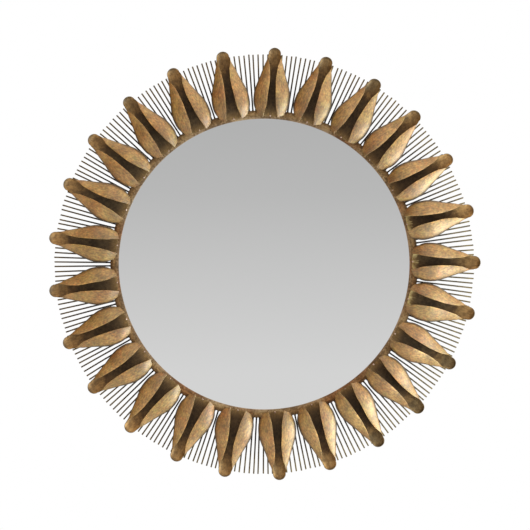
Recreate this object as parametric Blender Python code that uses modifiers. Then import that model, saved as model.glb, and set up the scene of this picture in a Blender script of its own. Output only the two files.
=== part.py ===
"""Round wall mirror in a sunburst frame of curled metal petals and fine straight rods.

Metres, +Z up. The glass faces -Y, the wall is the plane y = 0, and the world's origin is the middle of the
hanger bar's rear face. Every piece is placed in the mirror's own face frame, which the empty holds: x to the
right, y up and z forward from the wall, with its centre at the centre of the glass.
"""

import math

import bmesh
import bpy
from mathutils import Matrix

touch = 0.0003                 # gap left between pieces that touch

# Hanger bar, across the back of the ring
hang_drop = 0.170              # from the bar's centreline down to the centre of the glass
bar_height = 0.030
bar_thickness = 0.004
bar_end_inset = 0.001          # its ends stop this far inside the ring's outside

# Ring: a flat flange in front, a wall behind its outer edge
ring_opening_radius = 0.3085
flange_width = 0.0175
ring_depth = 0.0200
flange_thickness = 0.0030
ring_wall = 0.0030
ring_sides = 50

# Glass and back panel, seated behind the flange
seat_clearance = 0.0012        # round the edge, inside the ring's wall
glass_thickness = 0.0050
panel_thickness = 0.0040
disc_sides = 50

# Bumpers, low on the back panel, reaching to the wall
bumper_radius = 0.0100
bumper_inset = 0.0518          # from the panel's edge to the bumper's centre
bumper_spread = math.radians(32)
bumper_sides = 12

# Rods, welded round the ring's wall
rods_per_petal = 11
rod_diameter = 0.0027
rod_tip_short = 0.0117         # the rods end this far inside the petals' tips
rod_setback = 0.0090           # rods' centreline, behind the ring's front face
rod_sides = 3

# Petals
petal_count = 25
first_petal_angle = math.radians(2.9)    # clockwise from the top
petal_foot_inset = 0.0022      # from the ring's opening out to the ends of the flaps
petal_length = 0.1473
petal_width = 0.0800
petal_depth = 0.0340
petal_sheet = 0.0012
petal_side_cut = 0.0076        # the sides of the foot start this far outside the flaps' ends
petal_floor_cut = 0.0032       # and the channel's floor this far
petal_tip_lift = 0.0090        # the tip curves forward from the ring's plane
petal_lean = math.radians(1.0)           # about its foot, clockwise
drift_once_round = math.radians(0.48)    # the petals' spacing runs a little ahead and behind
drift_twice_round = math.radians(0.23)
drift_start = math.radians(28)

# One row for each section of a petal: share of its length, share of its half width, and the angle that its
# side reaches on the section's ellipse, where -90 is the channel's floor and 0 the widest place
petal_shares = (
    (0.000, 0.762, 59.0),
    (0.150, 0.979, 73.5),
    (0.335, 1.000, 78.5),
    (0.540, 0.785, 77.0),
    (0.755, 0.518, 60.0),
    (0.917, 0.352, -14.0),
    (1.000, 0.136, -40.0),
)
petal_floor_angle = math.radians(-70)    # where the flat floor turns up into the side
side_shares = (0.0, 0.42, 0.72, 1.0)     # of the way from the floor to the free edge

# Radii, from the centre of the glass
ring_outer_radius = ring_opening_radius + flange_width
seat_radius = ring_outer_radius - ring_wall - seat_clearance
bumper_circle_radius = seat_radius - bumper_inset
petal_foot_radius = ring_opening_radius + petal_foot_inset
rod_tip_radius = petal_foot_radius + petal_length - rod_tip_short

# Depths, forward from the wall
ring_rear = bar_thickness + touch
ring_front = ring_rear + ring_depth
flange_rear = ring_front - flange_thickness
glass_front = flange_rear - touch
glass_rear = glass_front - glass_thickness
panel_front = glass_rear - touch
panel_rear = panel_front - panel_thickness
petal_rear = ring_front + touch


def new_collection(name):
    collection = bpy.data.collections.new(name)
    bpy.context.scene.collection.children.link(collection)
    return collection


def finish(name, color, roughness, metallic):
    material = bpy.data.materials.new(name)
    material.use_nodes = True
    shader = material.node_tree.nodes["Principled BSDF"]
    shader.inputs["Base Color"].default_value = (*color, 1.0)
    shader.inputs["Roughness"].default_value = roughness
    shader.inputs["Metallic"].default_value = metallic
    return material


def add_object(name, mesh, collection, parent, material):
    obj = bpy.data.objects.new(name, mesh)
    collection.objects.link(obj)
    obj.parent = parent
    if material:
        mesh.materials.append(material)
    return obj


def mesh_from(bm, name):
    mesh = bpy.data.meshes.new(name)
    bm.to_mesh(mesh)
    bm.free()
    return mesh


def shade_round(mesh, angle=35):
    mesh.shade_smooth()
    mesh.set_sharp_from_angle(angle=math.radians(angle))


def disc_mesh(name, radius, thickness, sides):
    bm = bmesh.new()
    bmesh.ops.create_cone(
        bm, cap_ends=True, segments=sides, radius1=radius, radius2=radius, depth=thickness
    )
    mesh = mesh_from(bm, name)
    shade_round(mesh)
    return mesh


def as_cutter(obj):
    obj.hide_render = True
    obj.display_type = "WIRE"


def make_ring(collection, parent, rods):
    """The angle ring, turned from its profile, with the rods joined to its wall."""
    wall_inside = ring_outer_radius - ring_wall
    profile = (
        (ring_outer_radius, ring_front),
        (ring_outer_radius, ring_rear),
        (wall_inside, ring_rear),
        (wall_inside, flange_rear),
        (ring_opening_radius, flange_rear),
        (ring_opening_radius, ring_front),
    )
    bm = bmesh.new()
    corners = [bm.verts.new((radius, 0.0, forward)) for radius, forward in profile]
    for start, end in zip(corners, corners[1:] + corners[:1]):
        bm.edges.new((start, end))
    bronze = finish("ring bronze", (0.20, 0.125, 0.065), 0.42, 0.9)
    ring = add_object("ring_with_rods", mesh_from(bm, "ring_with_rods"), collection, parent, bronze)

    turn = ring.modifiers.new("Turn", "SCREW")
    turn.axis = "Z"
    turn.angle = math.tau
    turn.steps = ring_sides
    turn.render_steps = ring_sides
    turn.use_merge_vertices = True
    turn.merge_threshold = 0.00001
    turn.use_smooth_shade = False

    join = ring.modifiers.new("Rods", "BOOLEAN")
    join.operation = "UNION"
    join.solver = "EXACT"
    join.object = rods
    return ring


def make_rods(collection, parent):
    """All the rods as one mesh, each starting inside the ring's wall."""
    root_radius = ring_outer_radius - ring_wall / 2
    length = rod_tip_radius - root_radius
    count = rods_per_petal * petal_count
    bm = bmesh.new()
    for index in range(count):
        turn = Matrix.Rotation(-math.tau * (index + 0.5) / count - first_petal_angle, 4, "Z")
        outward = Matrix.Translation((0.0, root_radius + length / 2, 0.0))
        lay_down = Matrix.Rotation(-math.pi / 2, 4, "X")
        bmesh.ops.create_cone(
            bm,
            cap_ends=True,
            segments=rod_sides,
            radius1=rod_diameter / 2,
            radius2=rod_diameter / 2,
            depth=length,
            matrix=turn @ outward @ lay_down,
        )
    rods = add_object("rods", mesh_from(bm, "rods"), collection, parent, None)
    rods.location.z = ring_front - rod_setback
    as_cutter(rods)
    return rods


def petal_point(share, across, row):
    """A point of the sheet's outer skin: across runs from -1, one free edge, to 1, the other."""
    length_share, width_share, edge_angle = row
    angle = petal_floor_angle + (math.radians(edge_angle) - petal_floor_angle) * share
    half_width = petal_width / 2 * width_share
    depth = petal_depth * width_share
    rise = (math.sin(angle) - math.sin(petal_floor_angle)) / (1 - math.sin(petal_floor_angle))
    foot_cut = petal_floor_cut * (1 - share)
    foot_cut += (petal_side_cut - petal_floor_cut / 2) * math.sin(math.pi * share)
    set_back = foot_cut * (1 - length_share) ** 4
    return (
        math.copysign(half_width * math.cos(angle), across),
        petal_length * length_share + set_back,
        depth * rise + petal_tip_lift * length_share ** 3,
    )


def petal_mesh(name):
    """A grid bent into the petal: a flat floor along the middle and a curled side on each hand of it."""
    columns = [(-1, share) for share in reversed(side_shares)] + [(1, share) for share in side_shares]
    across_count = len(columns) - 1
    along_count = len(petal_shares) - 1
    bm = bmesh.new()
    bmesh.ops.create_grid(bm, x_segments=across_count, y_segments=along_count, size=1.0)
    for vertex in bm.verts:
        column = round((vertex.co.x + 1) / 2 * across_count)
        row = round((vertex.co.y + 1) / 2 * along_count)
        across, share = columns[column]
        vertex.co = petal_point(share, across, petal_shares[row])
    mesh = mesh_from(bm, name)
    mesh.shade_smooth()
    return mesh


def make_petal(number, collection, parent, material):
    name = f"petal_{number:02d}"
    petal = add_object(name, petal_mesh(name), collection, parent, material)
    even = math.tau * (number - 1) / petal_count
    drift = drift_once_round * math.sin(even + drift_start)
    drift += drift_twice_round * math.sin(2 * (even + drift_start))
    angle = first_petal_angle + even - drift
    petal.location = (
        petal_foot_radius * math.sin(angle),
        petal_foot_radius * math.cos(angle),
        petal_rear,
    )
    petal.rotation_euler.z = -(angle + petal_lean)

    sheet = petal.modifiers.new("Sheet", "SOLIDIFY")
    sheet.thickness = petal_sheet
    sheet.offset = 1.0
    sheet.use_even_offset = True
    return petal


def make_glass(collection, parent):
    silver = finish("silvered glass", (0.86, 0.87, 0.87), 0.02, 1.0)
    mesh = disc_mesh("mirror_glass", seat_radius, glass_thickness, disc_sides)
    glass = add_object("mirror_glass", mesh, collection, parent, silver)
    glass.location.z = glass_rear + glass_thickness / 2
    return glass


def make_back_panel(collection, parent):
    board = finish("backing board", (0.16, 0.11, 0.07), 0.8, 0.0)
    mesh = disc_mesh("back_panel", seat_radius, panel_thickness, disc_sides)
    panel = add_object("back_panel", mesh, collection, parent, board)
    panel.location.z = panel_rear + panel_thickness / 2
    return panel


def make_hanger_bar(collection, cutters, parent):
    """A flat bar across the ring's rear rim, its ends cut to the ring's curve."""
    steel = finish("hanger steel", (0.10, 0.09, 0.08), 0.5, 0.9)
    bm = bmesh.new()
    size = Matrix.Diagonal((2 * ring_outer_radius, bar_height, bar_thickness, 1.0))
    bmesh.ops.create_cube(bm, size=1.0, matrix=size)
    bar = add_object("hanger_bar", mesh_from(bm, "hanger_bar"), collection, parent, steel)
    bar.location = (0.0, hang_drop, bar_thickness / 2)

    trim_mesh = disc_mesh("bar_trim", ring_outer_radius - bar_end_inset, 3 * bar_thickness, ring_sides)
    trim = add_object("bar_trim", trim_mesh, cutters, parent, None)
    trim.location.z = bar_thickness / 2
    as_cutter(trim)

    cut = bar.modifiers.new("Ends", "BOOLEAN")
    cut.operation = "INTERSECT"
    cut.solver = "EXACT"
    cut.object = trim
    return bar


def make_bumper(name, side, collection, parent, material):
    height = panel_rear - touch
    bumper = add_object(name, disc_mesh(name, bumper_radius, height, bumper_sides), collection, parent, material)
    bumper.location = (
        side * bumper_circle_radius * math.sin(bumper_spread),
        -bumper_circle_radius * math.cos(bumper_spread),
        height / 2,
    )
    return bumper


def main():
    for obj in list(bpy.data.objects):
        bpy.data.objects.remove(obj)

    parts = new_collection("wall_mirror")
    cutters = new_collection("cutters")

    face = bpy.data.objects.new("mirror_face", None)
    parts.objects.link(face)
    face.location = (0.0, 0.0, -hang_drop)
    face.rotation_euler = (math.pi / 2, 0.0, 0.0)

    make_ring(parts, face, make_rods(cutters, face))
    brass = finish("aged brass", (0.46, 0.31, 0.14), 0.38, 0.9)
    for number in range(1, petal_count + 1):
        make_petal(number, parts, face, brass)
    make_glass(parts, face)
    make_back_panel(parts, face)
    make_hanger_bar(parts, cutters, face)
    rubber = finish("bumper rubber", (0.03, 0.03, 0.03), 0.7, 0.0)
    make_bumper("bumper_left", -1, parts, face, rubber)
    make_bumper("bumper_right", 1, parts, face, rubber)


main()
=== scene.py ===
import math
import random

import bmesh
import bpy
from mathutils import Matrix, Vector, noise


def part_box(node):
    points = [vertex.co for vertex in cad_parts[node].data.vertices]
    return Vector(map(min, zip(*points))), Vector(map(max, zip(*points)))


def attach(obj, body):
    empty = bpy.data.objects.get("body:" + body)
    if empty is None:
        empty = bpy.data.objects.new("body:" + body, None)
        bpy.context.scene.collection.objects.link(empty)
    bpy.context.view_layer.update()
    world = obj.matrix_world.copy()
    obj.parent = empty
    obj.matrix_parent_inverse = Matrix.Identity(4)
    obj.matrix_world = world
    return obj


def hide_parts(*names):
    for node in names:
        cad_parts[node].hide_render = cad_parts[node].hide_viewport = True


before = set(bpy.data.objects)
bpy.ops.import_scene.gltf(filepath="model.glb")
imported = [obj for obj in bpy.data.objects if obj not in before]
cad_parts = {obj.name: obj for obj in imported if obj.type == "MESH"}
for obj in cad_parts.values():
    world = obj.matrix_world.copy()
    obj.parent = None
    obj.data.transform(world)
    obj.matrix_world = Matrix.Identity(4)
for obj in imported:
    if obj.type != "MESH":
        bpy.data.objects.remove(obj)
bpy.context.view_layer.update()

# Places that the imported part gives
glassLow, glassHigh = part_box("mirror_glass")
ringLow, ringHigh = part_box("ring_with_rods")
panelLow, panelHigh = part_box("back_panel")
barLow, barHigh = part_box("hanger_bar")
centre = (glassLow + glassHigh) / 2
ringFront = -ringLow.y
ringRear = -ringHigh.y

# The mirror's own frame: x right, y up, z forward from the wall, centred on the glass
faceFrame = Matrix.Translation((centre.x, 0.0, centre.z)) @ Matrix.Rotation(math.pi / 2, 4, "X")


def outward(angle):
    # turns +y of the mirror's frame to this angle, in degrees clockwise from the top
    return Matrix.Rotation(-math.radians(angle), 4, "Z")


def makePiece(name, bm, materials, nodes, sharpAngle=40):
    bm.transform(faceFrame)
    if all(edge.is_manifold for edge in bm.edges):
        bmesh.ops.recalc_face_normals(bm, faces=bm.faces[:])
    mesh = bpy.data.meshes.new(name)
    bm.to_mesh(mesh)
    bm.free()
    for material in materials:
        mesh.materials.append(material)
    mesh.shade_smooth()
    mesh.set_sharp_from_angle(angle=math.radians(sharpAngle))
    piece = bpy.data.objects.new(name, mesh)
    bpy.context.scene.collection.objects.link(piece)
    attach(piece, "root")
    if nodes:
        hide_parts(*nodes)
    return piece


def sharpEdges(bm, angle=40):
    return [edge for edge in bm.edges if edge.is_manifold and edge.calc_face_angle() > math.radians(angle)]


def roundEdges(bm, edges, width, segments=2):
    bmesh.ops.bevel(
        bm, geom=edges, offset=width, segments=segments, profile=0.5, affect="EDGES", material=-1, clamp_overlap=True
    )


def turned(bm, profile, steps, closed=True):
    # spins a profile of (radius, forward) points once round the mirror's axis
    points = [bm.verts.new((0.0, radius, forward)) for radius, forward in profile]
    pairs = list(zip(points, points[1:] + points[:1])) if closed else list(zip(points, points[1:]))
    edges = [bm.edges.new(pair) for pair in pairs]
    bmesh.ops.spin(
        bm, geom=points + edges, axis=(0, 0, 1), cent=(0, 0, 0), angle=math.tau, steps=steps, use_merge=True
    )


# Reads a table of rows, smoothly between them, at any value of its first column
def readTable(rows, at):
    low = 0
    while low < len(rows) - 2 and rows[low + 1][0] < at:
        low += 1
    start, end = rows[low], rows[low + 1]
    before, after = rows[max(low - 1, 0)], rows[min(low + 2, len(rows) - 1)]
    span = end[0] - start[0]
    t = (at - start[0]) / span
    values = []
    for k in range(1, len(start)):
        slopeIn = (end[k] - before[k]) / (end[0] - before[0]) * span
        slopeOut = (after[k] - start[k]) / (after[0] - start[0]) * span
        values.append(
            (2 * t**3 - 3 * t**2 + 1) * start[k] + (t**3 - 2 * t**2 + t) * slopeIn
            + (3 * t**2 - 2 * t**3) * end[k] + (t**3 - t**2) * slopeOut
        )
    return values


def newMaterial(name, **sockets):
    material = bpy.data.materials.new(name)
    material.use_nodes = True
    shader = material.node_tree.nodes["Principled BSDF"]
    for socket, value in sockets.items():
        shader.inputs[socket.replace("_", " ")].default_value = value
    return material, shader


def addNode(material, kind, inputs, **settings):
    node = material.node_tree.nodes.new("ShaderNode" + kind)
    for name, value in settings.items():
        setattr(node, name, value)
    for socket, value in inputs.items():
        if isinstance(value, bpy.types.NodeSocket):
            material.node_tree.links.new(value, node.inputs[socket])
        else:
            node.inputs[socket].default_value = value
    return node


def join(material, output, target):
    material.node_tree.links.new(output, target)


def mathNode(material, operation, *values):
    return addNode(material, "Math", dict(enumerate(values)), operation=operation).outputs[0]


def vectorNode(material, operation, *values):
    return addNode(material, "VectorMath", dict(enumerate(values)), operation=operation).outputs[0]


def stretch(material, vector, scale):
    return addNode(material, "Mapping", {"Vector": vector, "Scale": scale}).outputs["Vector"]


def objectPlace(material):
    return addNode(material, "TexCoord", {}).outputs["Object"]


def attribute(material, name):
    return addNode(material, "Attribute", {}, attribute_name=name).outputs["Fac"]


# The petal's own map, and its parts: how far from the middle line (0 to 0.5), and the share of the length
def petalMap(material):
    uv = addNode(material, "UVMap", {}, uv_map="petalMap").outputs["UV"]
    parts = addNode(material, "SeparateXYZ", {"Vector": uv}).outputs
    side = mathNode(material, "ABSOLUTE", mathNode(material, "SUBTRACT", parts["X"], 0.5))
    return uv, side, parts["Y"]


def cloudy(material, coordinates, scale, detail=4.0, roughness=0.55, distortion=0.0):
    return addNode(
        material, "TexNoise",
        {"Vector": coordinates, "Scale": scale, "Detail": detail, "Roughness": roughness, "Distortion": distortion},
    ).outputs["Fac"]


def fade(material, value, low, high, lowTo=0.0, highTo=1.0):
    return addNode(
        material, "MapRange",
        {"Value": value, "From Min": low, "From Max": high, "To Min": lowTo, "To Max": highTo},
        interpolation_type="SMOOTHSTEP",
    ).outputs["Result"]


def rampColour(material, factor, stops):
    node = addNode(material, "ValToRGB", {"Fac": factor})
    elements = node.color_ramp.elements
    while len(elements) < len(stops):
        elements.new(1.0)
    for element, (position, colour) in zip(elements, stops):
        element.position = position
        element.color = (*colour, 1.0)
    return node.outputs["Color"]


def mixColour(material, factor, first, second, blend="MIX"):
    node = addNode(material, "Mix", {0: factor, 6: first, 7: second}, data_type="RGBA", blend_type=blend)
    return node.outputs[2]


# Multiplies the colour by a tint, as far as the factor says
def tinted(material, factor, colour, tint):
    return mixColour(material, factor, colour, (*tint, 1.0), "MULTIPLY")


# Distance from the mirror's axis, in metres
def middleDistance(material, place):
    flat = vectorNode(material, "SUBTRACT", place, (centre.x, 0.0, centre.z))
    flat = vectorNode(material, "MULTIPLY", flat, (1.0, 0.0, 1.0))
    return addNode(material, "VectorMath", {0: flat}, operation="LENGTH").outputs["Value"]


def bump(material, shader, height, distance, strength=1.0):
    node = addNode(material, "Bump", {"Height": height, "Distance": distance, "Strength": strength})
    join(material, node.outputs["Normal"], shader.inputs["Normal"])


petal = {
    "count": 25,
    "firstAngle": 2.9,               # degrees clockwise from the top
    "lean": 1.0,                     # degrees about its foot, clockwise
    "drift": (0.48, 0.23, 28.0),     # degrees: once round, twice round, and where it starts
    "footRadius": 0.3107,
    "gap": 0.0003,                   # above the ring
    "length": 0.1473,
    "width": 0.0800,
    "depth": 0.0338,                 # a hair under the solid, whose curl is cut in flat strips
    "sheet": 0.0012,
    "edgeRound": 0.00035,
    "floorAngle": -70.0,             # where the flat floor turns up into the side
    "floorShare": 0.24,              # of the grid's half width, for the floor
    "floorCut": 0.0032,              # the floor's foot starts this far out
    "sideCut": 0.0076,               # and the middle of each side this far
    "tipLift": 0.0090,
    "columns": 42,
    "bodyRows": 46,
    "capRows": 12,
    "capFrom": 0.91,                 # share of the length where the round end begins
    # share of the length, share of the half width, angle of the free edge
    "shape": (
        (0.000, 0.762, 59.0),
        (0.150, 0.979, 73.5),
        (0.335, 1.000, 78.5),
        (0.464, 0.881, 78.7),
        (0.575, 0.733, 76.3),
        (0.694, 0.587, 68.5),
        (0.752, 0.521, 61.0),
        (0.827, 0.410, 33.0),
        (0.910, 0.354, -14.0),
    ),
    "litFeet": (6, 7, 8),           # petals whose floor is painted bright at the foot, as painted light from the key
    # each petal's hand: its foot and its tip stand this far clockwise of their places, in millimetres,
    # its share of the usual width, and how light the inside of its tip is
    "hands": (
        (-0.3, 1.0, 0.96, 0.8), (0.0, 0.7, 0.98, 0.7), (2.0, 2.0, 1.02, 0.6), (2.8, -2.5, 1.03, 0.8),
        (0.7, 0.0, 0.99, 1.2), (-1.6, 4.8, 1.03, 1.2), (0.3, 2.0, 1.02, 0.9), (-2.4, -2.4, 1.01, 0.9),
        (-0.9, -1.8, 0.99, 0.5), (-1.7, 1.6, 1.00, 0.5), (-0.6, -0.2, 0.99, 0.5), (0.4, 1.4, 1.01, 0.9),
        (-2.2, -1.2, 1.00, 0.8), (0.0, 2.6, 1.01, 0.9), (-0.1, -3.1, 1.00, 0.9), (-2.6, -0.4, 1.00, 1.2),
        (-2.8, 1.2, 1.01, 0.9), (-0.6, -4.3, 1.01, 0.9), (-1.1, -2.5, 1.00, 0.8), (-0.7, -2.7, 0.98, 1.1),
        (-2.0, 4.2, 1.01, 0.9), (0.0, 0.1, 0.99, 0.9), (-1.6, -0.9, 0.98, 0.7), (-1.3, 0.5, 1.00, 0.9),
        (-0.3, 0.7, 1.00, 0.8),
    ),
    "beaten": 0.00035,               # how uneven the hand-worked sheet is
    "beatenGrain": 45.0,             # lumps to the metre
    "beatenFrom": 0.0040,            # in full from this height above the floor
    "curlLeft": (-3.2, 0.4),         # degrees that chance adds to the free edges' angles
    "curlRight": (-1.9, 1.7),
    "wave": 2.0,                     # degrees that the curl wanders along the petal
    "waves": 4.0,                    # in its length
    "rowCrowding": 1.12,             # rows stand closer near the foot
    "capFullness": 0.985,            # keeps the round end from closing to a point
    "seed": 7,
}


def petalAngle(number):
    even = 360.0 * (number - 1) / petal["count"]
    once, twice, start = petal["drift"]
    drift = once * math.sin(math.radians(even + start)) + twice * math.sin(math.radians(2 * (even + start)))
    return petal["firstAngle"] + even - drift


# A point of the section at this share of the length; side runs from -1, one free edge, to 1, the other
def sectionPoint(share, side, hand):
    widthShare, edgeAngle = readTable(petal["shape"], share)
    edgeAngle += hand["curlLeft"] if side < 0 else hand["curlRight"]
    spot = Vector((share * petal["waves"], hand["place"], math.copysign(3.0, side)))
    edgeAngle += petal["wave"] * noise.noise(spot)
    floorAngle = petal["floorAngle"]
    onSide = max(abs(side) - petal["floorShare"], 0.0) / (1.0 - petal["floorShare"])
    angle = math.radians(floorAngle + (edgeAngle - floorAngle) * onSide)
    across = petal["width"] / 2 * hand["width"] * widthShare * math.cos(angle)
    if onSide == 0.0:
        across *= abs(side) / petal["floorShare"]
    lowest = math.sin(math.radians(floorAngle))
    rise = petal["depth"] * widthShare * (math.sin(angle) - lowest) / (1.0 - lowest)
    footCut = petal["floorCut"] * (1.0 - onSide)
    footCut += (petal["sideCut"] - petal["floorCut"] / 2) * math.sin(math.pi * onSide)
    along = petal["length"] * share + footCut * (1.0 - share) ** 4
    return Vector((math.copysign(across, side), along, rise))


def bendPetal(bm, hand):
    columns, bodyRows, capRows = petal["columns"], petal["bodyRows"], petal["capRows"]
    capFrom = petal["capFrom"]
    uvLayer = bm.loops.layers.uv.new("petalMap")
    toneLayer = bm.verts.layers.float.new("petalTone")
    footLightLayer = bm.verts.layers.float.new("paintedFootLight")
    bmesh.ops.create_grid(bm, x_segments=columns, y_segments=bodyRows + capRows, size=1.0)
    places = {}
    for vertex in bm.verts:
        side = vertex.co.x
        row = round((vertex.co.y + 1.0) / 2.0 * (bodyRows + capRows))
        share = capFrom * (min(row, bodyRows) / bodyRows) ** petal["rowCrowding"]
        point = sectionPoint(share, side, hand)
        if row > bodyRows:
            reach = (row - bodyRows) / capRows
            rim = sectionPoint(capFrom, math.copysign(1.0, side), hand)
            arc = math.sqrt(1.0 - (petal["capFullness"] * point.x / rim.x) ** 2)
            share = capFrom + (1.0 - capFrom) * reach * arc
            point.y = petal["length"] * share
            point.z += (rim.z - point.z) * reach**2
        point.z += petal["tipLift"] * share**3
        beat = noise.noise(point * petal["beatenGrain"] + Vector((0.0, hand["place"], 0.0)))
        point.x *= 1.0 - petal["beaten"] / petal["width"] * 2 * (1.0 + beat)
        point.z -= petal["beaten"] * (0.5 + beat * 0.5) * min(1.0, point.z / petal["beatenFrom"])
        vertex.co = point
        vertex[toneLayer] = hand["tone"]
        vertex[footLightLayer] = hand["footLight"]
        places[vertex] = ((side + 1.0) / 2.0, share)
    for face in bm.faces:
        for loop in face.loops:
            loop[uvLayer].uv = places[loop.vert]


def makePetal(number, materials):
    dice = random.Random(petal["seed"] * 100 + number)
    footShift, tipShift, width, tone = petal["hands"][number - 1]
    hand = {
        "width": width,
        "curlLeft": dice.uniform(*petal["curlLeft"]),
        "curlRight": dice.uniform(*petal["curlRight"]),
        "place": dice.uniform(0.0, 90.0),
        "tone": tone,
        "footLight": 1.0 if number in petal["litFeet"] else 0.0,
    }
    bm = bmesh.new()
    bendPetal(bm, hand)
    angle = petalAngle(number)
    foot = outward(angle) @ Vector((footShift / 1000, petal["footRadius"], ringFront + petal["gap"]))
    lean = petal["lean"] + math.degrees((tipShift - footShift) / 1000 / petal["length"])
    bm.transform(Matrix.Translation(foot) @ outward(angle + lean))
    piece = makePiece(f"petal{number:02d}", bm, materials, [f"petal_{number:02d}"])
    skin = piece.modifiers.new("Sheet", "SOLIDIFY")
    skin.thickness = petal["sheet"]
    skin.offset = 1.0                # inward, from the outer skin
    skin.use_even_offset = True
    skin.material_offset = 1
    skin.material_offset_rim = 2
    edge = piece.modifiers.new("Edge", "BEVEL")
    edge.width = petal["edgeRound"]
    edge.segments = 2
    edge.limit_method = "ANGLE"
    edge.angle_limit = math.radians(60)
    edge.harden_normals = False


# Fine scratches along the rubbed sheet
def scratchColour(material, uv, colour, depth):
    grain = cloudy(material, stretch(material, uv, (75.0, 20.0, 1.0)), 1.0, 1.0)
    shade = rampColour(material, grain, (
        (0.42, (1.0 - depth,) * 3),
        (0.58, (1.0 + depth,) * 3),
    ))
    return mixColour(material, 1.0, colour, shade, "MULTIPLY")


def paintPetalOutside():
    material, shader = newMaterial(
        "agedBrassOutside", Metallic=0.25, Coat_Weight=1.0, Coat_Roughness=0.56, Coat_IOR=1.62
    )
    uv, side, along = petalMap(material)
    place = objectPlace(material)
    patches = cloudy(material, place, 46.0, 4.0)
    tint = cloudy(material, place, 24.0, 4.0, 0.6)
    fine = cloudy(material, place, 250.0, 5.0, 0.7)
    blend = mathNode(material, "ADD", patches, fine)
    colour = rampColour(material, fade(material, blend, 0.72, 1.3), (
        (0.0, (0.182, 0.088, 0.018)),
        (0.5, (0.278, 0.144, 0.035)),
        (1.0, (0.370, 0.214, 0.062)),
    ))
    colour = tinted(material, fade(material, tint, 0.42, 0.66), colour, (0.93, 1.04, 0.94))
    colour = tinted(material, fade(material, tint, 0.46, 0.28), colour, (1.07, 0.92, 0.80))
    speckle = cloudy(material, place, 130.0, 3.0, 0.6)
    colour = tinted(material, fade(material, speckle, 0.54, 0.66), colour, (1.06, 0.88, 0.72))
    colour = tinted(material, fade(material, speckle, 0.46, 0.34), colour, (0.86, 0.96, 0.84))
    # brush marks along the petal
    marks = cloudy(material, stretch(material, uv, (75.0, 6.0, 1.0)), 1.0, 4.0, 0.65)
    colour = tinted(material, fade(material, marks, 0.36, 0.64), colour, (1.38, 1.37, 1.36))
    # painted shade: a dark band round its widest line, where the curl turns away, with lighter painted shade below
    # it; the band sits further from the middle near the foot
    wander = mathNode(material, "MULTIPLY_ADD", patches, 0.05, -0.025)
    wander = mathNode(material, "MULTIPLY_ADD", fade(material, along, 0.40, 0.20), 0.012, wander)
    paintedContourShade = rampColour(material, mathNode(material, "SUBTRACT", side, wander), (
        (0.24, (0.70, 0.66, 0.64)),
        (0.29, (0.16, 0.14, 0.13)),
        (0.336, (0.16, 0.14, 0.13)),
        (0.378, (1.00, 1.00, 1.00)),
    ))
    colour = mixColour(material, 1.0, colour, paintedContourShade, "MULTIPLY")
    # painted shade darkens the flap toward its free edge near the foot, where it curls away from the light
    paintedEdgeShade = mathNode(
        material, "MULTIPLY", fade(material, side, 0.39, 0.485), fade(material, along, 0.45, 0.19)
    )
    colour = tinted(material, paintedEdgeShade, colour, (0.70, 0.68, 0.66))
    # painted highlight along the free edge itself, broken up by noise, where the sheet's edge catches the light
    wearAndEdgeHighlight = mathNode(
        material, "MULTIPLY", fade(material, side, 0.484, 0.494), fade(material, fine, 0.35, 0.6)
    )
    colour = tinted(material, wearAndEdgeHighlight, colour, (1.30, 1.30, 1.27))
    join(material, scratchColour(material, uv, colour, 0.20), shader.inputs["Base Color"])
    join(material, fade(material, fine, 0.3, 0.7, 0.44, 0.60), shader.inputs["Roughness"])
    bump(material, shader, mathNode(material, "MULTIPLY_ADD", marks, 0.5, blend), 0.0004, 0.35)
    return material


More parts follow.
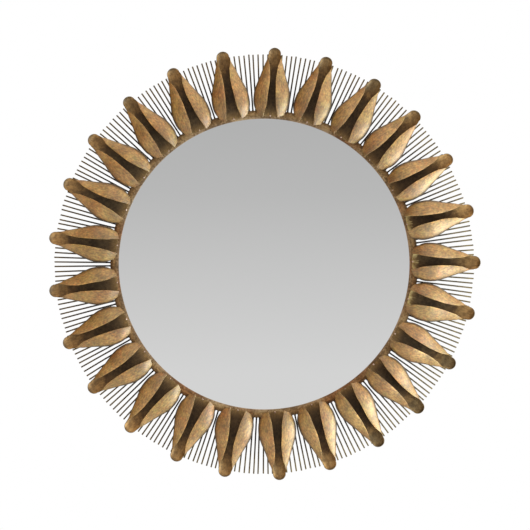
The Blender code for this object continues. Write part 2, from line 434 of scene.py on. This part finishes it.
def paintPetalInside():
    material, shader = newMaterial("darkPatinaAndPaintedShadeInside", Metallic=0.3, Specular_IOR_Level=0.3)
    uv, side, along = petalMap(material)
    place = objectPlace(material)
    patches = cloudy(material, place, 90.0, 5.0, 0.65)
    streaks = cloudy(material, stretch(material, uv, (42.0, 5.0, 1.0)), 1.0, 3.0)
    wander = mathNode(material, "MULTIPLY_ADD", patches, 0.22, -0.11)
    level = mathNode(material, "ADD", along, wander)
    # dark patina inside, with painted shade on top: darkest along the deep middle of the channel, lighter toward the
    # foot and the tip where light gets in
    base = rampColour(material, level, (
        (0.00, (0.26, 0.167, 0.068)),
        (0.05, (0.20, 0.121, 0.049)),
        (0.13, (0.110, 0.068, 0.031)),
        (0.38, (0.077, 0.047, 0.022)),
        (0.56, (0.132, 0.082, 0.037)),
        (0.68, (0.145, 0.083, 0.034)),
        (0.79, (0.272, 0.160, 0.060)),
        (1.00, (0.298, 0.176, 0.069)),
    ))
    # each petal's tip has its own tone, and the darker ones are more olive
    high = fade(material, along, 0.70, 0.84)
    tone = addNode(
        material, "Mix", {0: high, 2: 1.0, 3: attribute(material, "petalTone")}, data_type="FLOAT"
    ).outputs[0]
    colour = addNode(material, "VectorMath", {0: base, "Scale": tone}, operation="SCALE").outputs[0]
    colour = tinted(material, fade(material, tone, 0.9, 0.4), colour, (0.95, 1.10, 1.30))
    colour = tinted(material, fade(material, streaks, 0.5, 0.72, 0.0, 0.6), colour, (1.8, 1.7, 1.5))
    colour = tinted(material, fade(material, patches, 0.38, 0.62, 0.85, 0.0), colour, (0.50, 0.46, 0.43))
    # painted light: streaky bright metal at the feet of the petals that point toward the key light
    footLightReach = mathNode(material, "MULTIPLY_ADD", streaks, 0.22, level)
    footLight = mathNode(
        material, "MULTIPLY", attribute(material, "paintedFootLight"), fade(material, footLightReach, 0.19, 0.10)
    )
    colour = mixColour(material, footLight, colour, (0.55, 0.43, 0.19, 1.0))
    # painted light and shade: the tip's turned-up sides are painted lighter than its hollow, as if catching the
    # light, and its very end is painted darker, as in shade
    sides = mathNode(material, "MULTIPLY", fade(material, side, 0.17, 0.46), high)
    colour = tinted(material, sides, colour, (1.60, 1.60, 1.55))
    colour = tinted(material, fade(material, along, 0.955, 0.995), colour, (0.50, 0.52, 0.52))
    join(material, scratchColour(material, uv, colour, 0.16), shader.inputs["Base Color"])
    join(material, fade(material, patches, 0.3, 0.7, 0.42, 0.62), shader.inputs["Roughness"])
    bump(material, shader, streaks, 0.0003, 0.4)
    return material


def paintPetalEdge():
    material, shader = newMaterial("wornPetalEdge", Metallic=0.5)
    _, _, along = petalMap(material)
    wearAndEdgeHighlight = cloudy(material, objectPlace(material), 120.0, 3.0)
    colour = rampColour(material, fade(material, wearAndEdgeHighlight, 0.35, 0.65), (
        (0.0, (0.24, 0.14, 0.06)),
        (1.0, (0.60, 0.43, 0.22)),
    ))
    # painted shade: the edge is painted dark toward the tip, where the rim of the round end lies in shade
    tipRimShade = mixColour(material, fade(material, along, 0.7, 0.86), colour, (0.13, 0.08, 0.035, 1.0))
    join(material, tipRimShade, shader.inputs["Base Color"])
    join(material, fade(material, wearAndEdgeHighlight, 0.3, 0.7, 0.45, 0.3), shader.inputs["Roughness"])
    return material


petalMaterials = [paintPetalInside(), paintPetalOutside(), paintPetalEdge()]
for number in range(1, petal["count"] + 1):
    makePetal(number, petalMaterials)
print("petals bent and placed")


# Welds at the petals' feet, and the solder drop at each floor's end
footWeld = {
    "lumps": 7,
    "halfWidth": 0.0085,
    "radius": 0.0011,
    "scatter": 0.0003,               # of the weld's lumps, in and out
    "lift": 0.0001,
    "drop": 0.0019,
    "dropOut": 0.0012,               # from the floor's end
    "dropAside": 0.0010,
    "seed": 11,
}
lump = {"uneven": 0.22, "grain": 700.0}


# A small uneven blob of metal
def addLump(bm, place, size, detail=2):
    shape = Matrix.Translation(place) @ Matrix.Diagonal((*size, 1.0))
    made = bmesh.ops.create_icosphere(bm, subdivisions=detail, radius=1.0, matrix=shape)["verts"]
    for vertex in made:
        away = vertex.co - Vector(place)
        vertex.co += away * lump["uneven"] * noise.noise(vertex.co * lump["grain"])
    return made


def paintFootWeld():
    material, shader = newMaterial("footWeld", Metallic=0.5, Roughness=0.5)
    colour = rampColour(material, cloudy(material, objectPlace(material), 400.0, 3.0), (
        (0.35, (0.09, 0.055, 0.03)),
        (0.65, (0.26, 0.165, 0.08)),
    ))
    join(material, colour, shader.inputs["Base Color"])
    return material


def paintSolder():
    material, shader = newMaterial("solderDrop", Metallic=0.8)
    cloud = cloudy(material, objectPlace(material), 500.0, 2.0)
    colour = rampColour(material, cloud, ((0.3, (0.46, 0.31, 0.24)), (0.7, (0.74, 0.55, 0.46))))
    join(material, colour, shader.inputs["Base Color"])
    join(material, fade(material, cloud, 0.3, 0.7, 0.25, 0.4), shader.inputs["Roughness"])
    return material


def makeFootWelds():
    dice = random.Random(footWeld["seed"])
    weld, drops = bmesh.new(), bmesh.new()
    floor = ringFront + petal["gap"]
    end = petal["footRadius"] + petal["floorCut"]
    for number in range(1, petal["count"] + 1):
        turn = outward(petalAngle(number))
        fresh = []
        for index in range(footWeld["lumps"]):
            across = footWeld["halfWidth"] * (2 * index / (footWeld["lumps"] - 1) - 1)
            size = footWeld["radius"] * dice.uniform(0.75, 1.15)
            aside = dice.uniform(-footWeld["scatter"], footWeld["scatter"])
            place = (across, end + aside, floor + footWeld["lift"])
            fresh += addLump(weld, place, (size * 1.5, size, size), 1)
        bmesh.ops.transform(weld, matrix=turn, verts=fresh)
        size = footWeld["drop"] * dice.uniform(0.7, 1.1)
        across = dice.uniform(-footWeld["dropAside"], footWeld["dropAside"])
        place = (across, end + footWeld["dropOut"] * dice.uniform(0.3, 0.8), floor + petal["sheet"])
        bmesh.ops.transform(drops, matrix=turn, verts=addLump(drops, place, (size, size, size * 0.6)))
    makePiece("footWelds", weld, [paintFootWeld()], [], 60)
    makePiece("solderDrops", drops, [paintSolder()], [], 80)


makeFootWelds()
print("petals' feet welded")


ring = {
    "opening": 0.3085,
    "outer": 0.3260,
    "flange": 0.0030,
    "wall": 0.0030,
    "steps": 300,
    "round": 0.0006,
}


def paintRing():
    material, shader = newMaterial("rubbedBronze", Metallic=0.6)
    place = objectPlace(material)
    patches = cloudy(material, place, 30.0, 4.0)
    fine = cloudy(material, place, 240.0, 4.0)
    blend = mathNode(material, "ADD", patches, fine)
    colour = rampColour(material, fade(material, blend, 0.75, 1.25), (
        (0.0, (0.140, 0.074, 0.025)),
        (0.5, (0.250, 0.140, 0.051)),
        (1.0, (0.350, 0.212, 0.088)),
    ))
    # painted shade: darker toward its outside, where the petals and rods shade it, and painted light off the glass
    # makes its inner edge bluer; measured from the ring's own middle
    radius = middleDistance(material, place)
    wander = mathNode(material, "MULTIPLY_ADD", patches, 0.006, -0.003)
    radius = mathNode(material, "ADD", radius, wander)
    shade = rampColour(material, fade(material, radius, ring["opening"], ring["outer"]), (
        (0.0, (0.79, 0.92, 1.42)),
        (0.3, (0.78, 0.86, 1.06)),
        (0.6, (0.91, 0.96, 1.10)),
        (1.0, (0.46, 0.47, 0.54)),
    ))
    colour = mixColour(material, 1.0, colour, shade, "MULTIPLY")
    tint = cloudy(material, place, 14.0, 2.0)
    colour = tinted(material, fade(material, tint, 0.48, 0.68), colour, (1.22, 1.30, 1.30))
    colour = tinted(material, fade(material, tint, 0.46, 0.30), colour, (1.05, 0.82, 0.68))
    # fine turned lines round the ring
    spread = addNode(material, "CombineXYZ", {"X": radius}).outputs[0]
    spread = vectorNode(material, "MULTIPLY", spread, (380.0, 0.0, 0.0))
    spread = vectorNode(material, "MULTIPLY_ADD", place, (22.0, 22.0, 22.0), spread)
    lines = cloudy(material, spread, 1.0, 3.0, 0.6)
    colour = tinted(material, fade(material, lines, 0.35, 0.65), colour, (1.35, 1.32, 1.25))
    join(material, colour, shader.inputs["Base Color"])
    join(material, fade(material, fine, 0.3, 0.7, 0.40, 0.55), shader.inputs["Roughness"])
    bump(material, shader, blend, 0.0003, 0.3)
    return material


def makeRing(material):
    inside = ring["outer"] - ring["wall"]
    behind = ringFront - ring["flange"]
    bm = bmesh.new()
    turned(bm, (
        (ring["outer"], ringFront),
        (ring["outer"], ringRear),
        (inside, ringRear),
        (inside, behind),
        (ring["opening"], behind),
        (ring["opening"], ringFront),
    ), ring["steps"])
    roundEdges(bm, sharpEdges(bm), ring["round"])
    makePiece("ring", bm, [material], ["ring_with_rods"])


makeRing(paintRing())
print("ring turned")


rod = {
    "perPetal": 11,
    "diameter": 0.0030,              # a little over the solid, to show as dark as the real ones
    "footDiameter": 0.0033,
    "start": 0.0004,                 # inside the ring's outside
    "tipRadius": 0.4463,
    "tipRound": 0.0005,
    "shorter": 0.0130,               # the most that chance takes off a rod, as a share
    "fixedFoot": 0.0100,             # of which this much, with the weld, stays as it is
    "aside": 0.11,                   # degrees that chance turns a rod, round the ring
    "tilt": 0.15,                    # and forward or back
    "setback": 0.0090,               # behind the ring's front
    "sides": 8,
    "weld": 0.0022,                  # radius of the weld's foot
    "weldLength": 0.0045,
    "seed": 3,
}


def paintRods():
    material, shader = newMaterial("rodBronze", Roughness=0.55, Specular_IOR_Level=0.15)
    place = objectPlace(material)
    patches = cloudy(material, place, 70.0, 3.0)
    colour = rampColour(material, fade(material, patches, 0.35, 0.68), (
        (0.0, (0.070, 0.049, 0.018)),
        (1.0, (0.150, 0.106, 0.036)),
    ))
    # painted shade: darker toward the ring, where the rods lie in the petals' shade
    far = fade(material, middleDistance(material, place), 0.345, 0.445)
    join(material, mixColour(material, far, (0.022, 0.017, 0.014, 1.0), colour), shader.inputs["Base Color"])
    return material


# One rod along +y from the ring's wall: a flared weld, the rod, and a rounded end
def rodMesh():
    start = ring["outer"] - rod["start"]
    end = rod["tipRadius"]
    radius, footRadius = rod["diameter"] / 2, rod["footDiameter"] / 2
    bm = bmesh.new()
    bmesh.ops.create_circle(bm, cap_ends=True, segments=rod["sides"], radius=rod["weld"])
    bmesh.ops.rotate(bm, verts=bm.verts[:], cent=(0, 0, 0), matrix=Matrix.Rotation(-math.pi / 2, 3, "X"))
    bmesh.ops.translate(bm, verts=bm.verts[:], vec=(0, start, 0))
    tipFace = list(bm.faces)[0]
    stops = (
        (start + rod["weldLength"] * 0.45, footRadius * 1.12),
        (start + rod["weldLength"], footRadius),
        (end - rod["tipRound"], radius),
        (end, radius * 0.6),
    )
    for along, wide in stops:
        grown = bmesh.ops.extrude_discrete_faces(bm, faces=[tipFace])["faces"][0]
        middle = grown.calc_center_median()
        size = wide / (grown.verts[0].co - middle).length
        for vertex in grown.verts:
            vertex.co = Vector((0, along, 0)) + (vertex.co - middle) * size
        tipFace = grown
    mesh = bpy.data.meshes.new("oneRod")
    bm.to_mesh(mesh)
    bm.free()
    return mesh


def makeRods(material):
    dice = random.Random(rod["seed"])
    pattern = rodMesh()
    count = rod["perPetal"] * petal["count"]
    bm = bmesh.new()
    for index in range(count):
        known = len(bm.verts)
        bm.from_mesh(pattern)
        bm.verts.ensure_lookup_table()
        fresh = bm.verts[known:]
        shortened = 1.0 + dice.uniform(-rod["shorter"], 0.0)
        for vertex in fresh:
            if vertex.co.y > ring["outer"] + rod["fixedFoot"]:
                vertex.co.y = ring["outer"] + (vertex.co.y - ring["outer"]) * shortened
        angle = 360.0 * (index + 0.5) / count + petal["firstAngle"] + dice.uniform(-rod["aside"], rod["aside"])
        tilt = Matrix.Rotation(math.radians(dice.uniform(-rod["tilt"], rod["tilt"])), 4, "X")
        lift = Matrix.Translation((0, 0, ringFront - rod["setback"]))
        pivot = Matrix.Translation((0, ring["outer"], 0))
        bmesh.ops.transform(bm, matrix=outward(angle) @ lift @ pivot @ tilt @ pivot.inverted(), verts=fresh)
    makePiece("rods", bm, [material], ["ring_with_rods"], 50)


makeRods(paintRods())
print("rods welded on")


disc = {"steps": 256}
glass = {"arris": 0.0008}


def paintMirror():
    material, shader = newMaterial("silveredGlass", Metallic=1.0, Roughness=0.015)
    haze = cloudy(material, objectPlace(material), 3.0, 2.0)
    colour = rampColour(material, haze, ((0.0, (0.895, 0.90, 0.90)), (1.0, (0.905, 0.905, 0.90))))
    join(material, colour, shader.inputs["Base Color"])
    return material


# A flat disc that fills the box of its node
def makeDisc(low, high):
    front, rear = -low.y, -high.y
    radius = (high.x - low.x) / 2
    bm = bmesh.new()
    bmesh.ops.create_cone(
        bm, cap_ends=True, segments=disc["steps"], radius1=radius, radius2=radius, depth=front - rear,
        matrix=Matrix.Translation((0, 0, (front + rear) / 2)),
    )
    return bm


def makeGlass():
    bm = makeDisc(glassLow, glassHigh)
    roundEdges(bm, sharpEdges(bm), glass["arris"], 1)
    makePiece("glass", bm, [paintMirror()], ["mirror_glass"], 20)


makeGlass()
print("glass seated")


panel = {
    "arris": 0.0005,
    "bead": 0.0030,                  # reach of the mastic from the corner
    "beadLean": 1.05,                # it reaches this much further over the board
    "beadUnder": 0.0002,             # and starts this far inside it
    "beadSteps": 160,
    "beadWander": 0.0006,
    "beadGrain": 60.0,
}


def paintBoard():
    material, shader = newMaterial("pressedBoard", Roughness=0.82)
    place = objectPlace(material)
    fibres = cloudy(material, stretch(material, place, (1.0, 1.0, 0.45)), 420.0, 6.0, 0.7)
    patches = cloudy(material, place, 9.0, 3.0)
    colour = rampColour(material, fibres, (
        (0.3, (0.11, 0.065, 0.034)),
        (0.55, (0.20, 0.125, 0.070)),
        (0.75, (0.30, 0.20, 0.12)),
    ))
    aged = tinted(material, fade(material, patches, 0.35, 0.7, 0.0, 0.5), colour, (0.75, 0.72, 0.70))
    join(material, aged, shader.inputs["Base Color"])
    bump(material, shader, fibres, 0.0002, 0.5)
    return material


def paintMastic():
    material, shader = newMaterial("mastic", Roughness=0.55)
    cloud = cloudy(material, objectPlace(material), 60.0, 3.0)
    colour = rampColour(material, cloud, ((0.3, (0.035, 0.033, 0.031)), (0.7, (0.075, 0.070, 0.064))))
    join(material, colour, shader.inputs["Base Color"])
    bump(material, shader, cloud, 0.0004, 0.4)
    return material


def makePanel():
    bm = makeDisc(panelLow, panelHigh)
    roundEdges(bm, sharpEdges(bm), panel["arris"])
    makePiece("backPanel", bm, [paintBoard()], ["back_panel"], 30)


# A bead of mastic in the corner between the board and the ring's wall
def makeBead():
    rear = -panelHigh.y
    corner = ring["outer"] - ring["wall"]
    reach, lean = panel["bead"], panel["beadLean"]
    under = rear + panel["beadUnder"]
    profile = [(corner, under), (corner - reach * lean, under)]
    for k in range(1, 7):
        turn = math.radians(15 * k)
        profile.append((corner - reach * (1 - math.sin(turn)) * lean, rear - reach * (1 - math.cos(turn))))
    bm = bmesh.new()
    turned(bm, profile, panel["beadSteps"])
    for vertex in bm.verts:
        if vertex.co.z < rear:
            shift = panel["beadWander"] * noise.noise(vertex.co * panel["beadGrain"])
            vertex.co.z += shift * (rear - vertex.co.z) / reach
    makePiece("masticBead", bm, [paintMastic()], [], 60)


makePanel()
makeBead()
print("back panel bedded")


bar = {
    "round": 0.0007,
    "columns": 40,
    "rows": 8,
    "endInset": 0.001,
    "weldLength": 0.0076,
    "weldLumps": 5,
    "weldRadius": 0.0020,
    "weldBeside": 0.0012,            # from the bar's edge
    "weldSunk": 0.0006,              # behind the ring's rear rim
}


def paintHanger():
    material, shader = newMaterial("hangerPaint", Metallic=0.3)
    place = objectPlace(material)
    skin = cloudy(material, place, 340.0, 2.0)
    wearAndEdgeHighlight = cloudy(material, stretch(material, place, (0.12, 1.0, 1.0)), 260.0, 4.0)
    colour = rampColour(material, wearAndEdgeHighlight, (
        (0.35, (0.022, 0.019, 0.016)),
        (0.62, (0.045, 0.038, 0.031)),
        (0.8, (0.12, 0.10, 0.085)),
    ))
    join(material, colour, shader.inputs["Base Color"])
    join(material, fade(material, wearAndEdgeHighlight, 0.3, 0.75, 0.36, 0.56), shader.inputs["Roughness"])
    bump(material, shader, skin, 0.0002, 0.3)
    return material


def makeHanger():
    rise = (barLow.z + barHigh.z) / 2 - centre.z
    height = barHigh.z - barLow.z
    edge = ring["outer"] - bar["endInset"]
    paint = paintHanger()
    bm = bmesh.new()
    bmesh.ops.create_grid(bm, x_segments=bar["columns"], y_segments=bar["rows"], size=1.0)
    for vertex in bm.verts:
        up = rise + vertex.co.y * height / 2
        vertex.co = Vector((vertex.co.x * math.sqrt(edge**2 - up**2), up, -barHigh.y))
    lifted = bmesh.ops.extrude_face_region(bm, geom=bm.faces[:])["geom"]
    lifted = [item for item in lifted if isinstance(item, bmesh.types.BMVert)]
    bmesh.ops.translate(bm, verts=lifted, vec=(0, 0, barHigh.y - barLow.y))
    bmesh.ops.recalc_face_normals(bm, faces=bm.faces[:])
    roundEdges(bm, sharpEdges(bm), bar["round"])
    makePiece("hangerBar", bm, [paint], ["hanger_bar"], 30)

    # A short weld above and below the bar, at both ends, on the ring's rear rim
    welds = bmesh.new()
    middle = ring["outer"] - ring["wall"] / 2
    radius = bar["weldRadius"]
    for hand in (-1, 1):
        for side in (-1, 1):
            up = rise + side * (height / 2 + bar["weldBeside"])
            along = hand * math.sqrt(middle**2 - up**2)
            turn = Matrix.Rotation(math.atan2(up, along) + math.pi / 2, 4, "Z")
            for step in range(bar["weldLumps"]):
                share = step / (bar["weldLumps"] - 1) - 0.5
                shift = turn @ Vector((bar["weldLength"] * share, 0, 0))
                place = (along + shift.x, up + shift.y * 0.6, ringRear - bar["weldSunk"])
                addLump(welds, place, (radius, radius, radius * 0.75), 1)
    makePiece("hangerWelds", welds, [paint], [], 60)


makeHanger()
print("hanger bar welded on")


bumper = {
    "steps": 64,
    "round": 0.0006,
    "taper": 0.94,
    "dimple": 0.0030,                # radius of the hollow in its face
    "dimpleFloor": 0.0018,
    "dimpleDepth": 0.0015,
}


def paintRubber():
    material, shader = newMaterial("bumperRubber", Roughness=0.7)
    dust = cloudy(material, objectPlace(material), 300.0, 4.0)
    colour = rampColour(material, dust, ((0.4, (0.020, 0.020, 0.021)), (0.75, (0.055, 0.053, 0.050))))
    join(material, colour, shader.inputs["Base Color"])
    bump(material, shader, dust, 0.0001, 0.3)
    return material


def makeBumper(name, node, material):
    low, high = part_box(node)
    radius = (high.x - low.x) / 2
    front, rear = -low.y, -high.y
    hollow = rear + bumper["dimpleDepth"]
    bm = bmesh.new()
    turned(bm, (
        (0.0, front),
        (radius, front),
        (radius * bumper["taper"], rear),
        (bumper["dimple"], rear),
        (bumper["dimpleFloor"], hollow),
        (0.0, hollow),
    ), bumper["steps"], closed=False)
    bmesh.ops.remove_doubles(bm, verts=bm.verts[:], dist=0.00001)
    roundEdges(bm, sharpEdges(bm), bumper["round"])
    bmesh.ops.translate(
        bm, verts=bm.verts[:], vec=((low.x + high.x) / 2 - centre.x, (low.z + high.z) / 2 - centre.z, 0)
    )
    makePiece(name, bm, [material], [node], 35)


rubber = paintRubber()
makeBumper("bumperLeft", "bumper_left", rubber)
makeBumper("bumperRight", "bumper_right", rubber)
print("bumpers stuck on")


studio = {
    "floor": -1.67,
    "floorSize": 12.0,
    "floorColour": (0.56, 0.60, 0.66),
    "cameraDistance": 5.0,
    "cameraFrom": -0.03,             # the plane that the distance is measured from
    "cameraSide": 0.0018,
    "cameraDrop": -0.002,
    "frameWidth": 1.1225,            # metres across the picture, at the petals
    "keyPlace": (1.72, -0.80, -0.82),
    "keySize": 1.2,
    "keyPower": 52.0,
    "keyColour": (0.89, 1.04, 1.09),
    "fillPlace": (-1.5, -1.9, -1.2),
    "fillSize": 1.8,
    "fillPower": 9.5,
    "fillColour": (1.0, 0.80, 0.54),
    "leftColour": (0.33, 0.20, 0.09),
    "highColour": (1.0, 0.90, 0.76),
    # the studio's brightness by the sine of the height above level; the glass shows the part near level
    "sky": (
        (-0.35, 0.45), (-0.08, 0.73), (-0.045, 0.72), (0.0, 0.61),
        (0.03, 0.53), (0.06, 0.49), (0.13, 0.51), (0.35, 1.65),
    ),
}


def makeFloor():
    bm = bmesh.new()
    bmesh.ops.create_grid(bm, x_segments=1, y_segments=1, size=studio["floorSize"] / 2)
    bmesh.ops.translate(bm, verts=bm.verts[:], vec=(0, 0, studio["floor"]))
    mesh = bpy.data.meshes.new("floor")
    bm.to_mesh(mesh)
    bm.free()
    material, shader = newMaterial("paleFloor", Roughness=0.8)
    shader.inputs["Base Color"].default_value = (*studio["floorColour"], 1.0)
    mesh.materials.append(material)
    floor = bpy.data.objects.new("floor", mesh)
    bpy.context.scene.collection.objects.link(floor)


def makeSoftbox(name, place, size, power, colour):
    light = bpy.data.lights.new(name, "AREA")
    light.color = colour
    light.shape = "SQUARE"
    light.size = size
    light.energy = power
    box = bpy.data.objects.new(name, light)
    bpy.context.scene.collection.objects.link(box)
    box.location = place
    box.rotation_euler = (centre - Vector(place)).to_track_quat("-Z", "Y").to_euler()


# White to the camera; to all else a soft gradient, lighter below, warm high up, and warm and dark to the left
def makeWorld():
    world = bpy.data.worlds.new("studio")
    bpy.context.scene.world = world
    world.use_nodes = True
    background = world.node_tree.nodes["Background"]
    direction = addNode(world, "TexCoord", {}).outputs["Generated"]
    parts = addNode(world, "SeparateXYZ", {"Vector": direction})
    height = parts.outputs["Z"]
    lowest, highest = studio["sky"][0][0], studio["sky"][-1][0]
    level = addNode(
        world, "MapRange", {"Value": height, "From Min": lowest, "From Max": highest}, interpolation_type="LINEAR"
    ).outputs["Result"]
    colour = rampColour(world, level, [
        ((rise - lowest) / (highest - lowest), (bright, bright, bright)) for rise, bright in studio["sky"]
    ])
    high = fade(world, height, 0.13, 0.40)
    colour = tinted(world, high, colour, studio["highColour"])
    left = fade(world, parts.outputs["X"], -0.10, -0.5)
    colour = mixColour(world, left, colour, (*studio["leftColour"], 1.0))
    toCamera = addNode(world, "LightPath", {}).outputs["Is Camera Ray"]
    join(world, mixColour(world, toCamera, colour, (1.0, 1.0, 1.0, 1.0)), background.inputs["Color"])


def makeCamera():
    camera = bpy.data.cameras.new("camera")
    camera.lens = camera.sensor_width * studio["cameraDistance"] / studio["frameWidth"]
    viewer = bpy.data.objects.new("camera", camera)
    bpy.context.scene.collection.objects.link(viewer)
    viewer.location = (
        centre.x + studio["cameraSide"],
        studio["cameraFrom"] - studio["cameraDistance"],
        centre.z + studio["cameraDrop"],
    )
    viewer.rotation_euler = (math.pi / 2, 0, 0)
    bpy.context.scene.camera = viewer


makeFloor()
for name in ("key", "fill"):
    makeSoftbox(name, *(studio[name + part] for part in ("Place", "Size", "Power", "Colour")))
makeWorld()
makeCamera()
bpy.context.scene.view_settings.view_transform = "Standard"
print("floor, light and camera set")
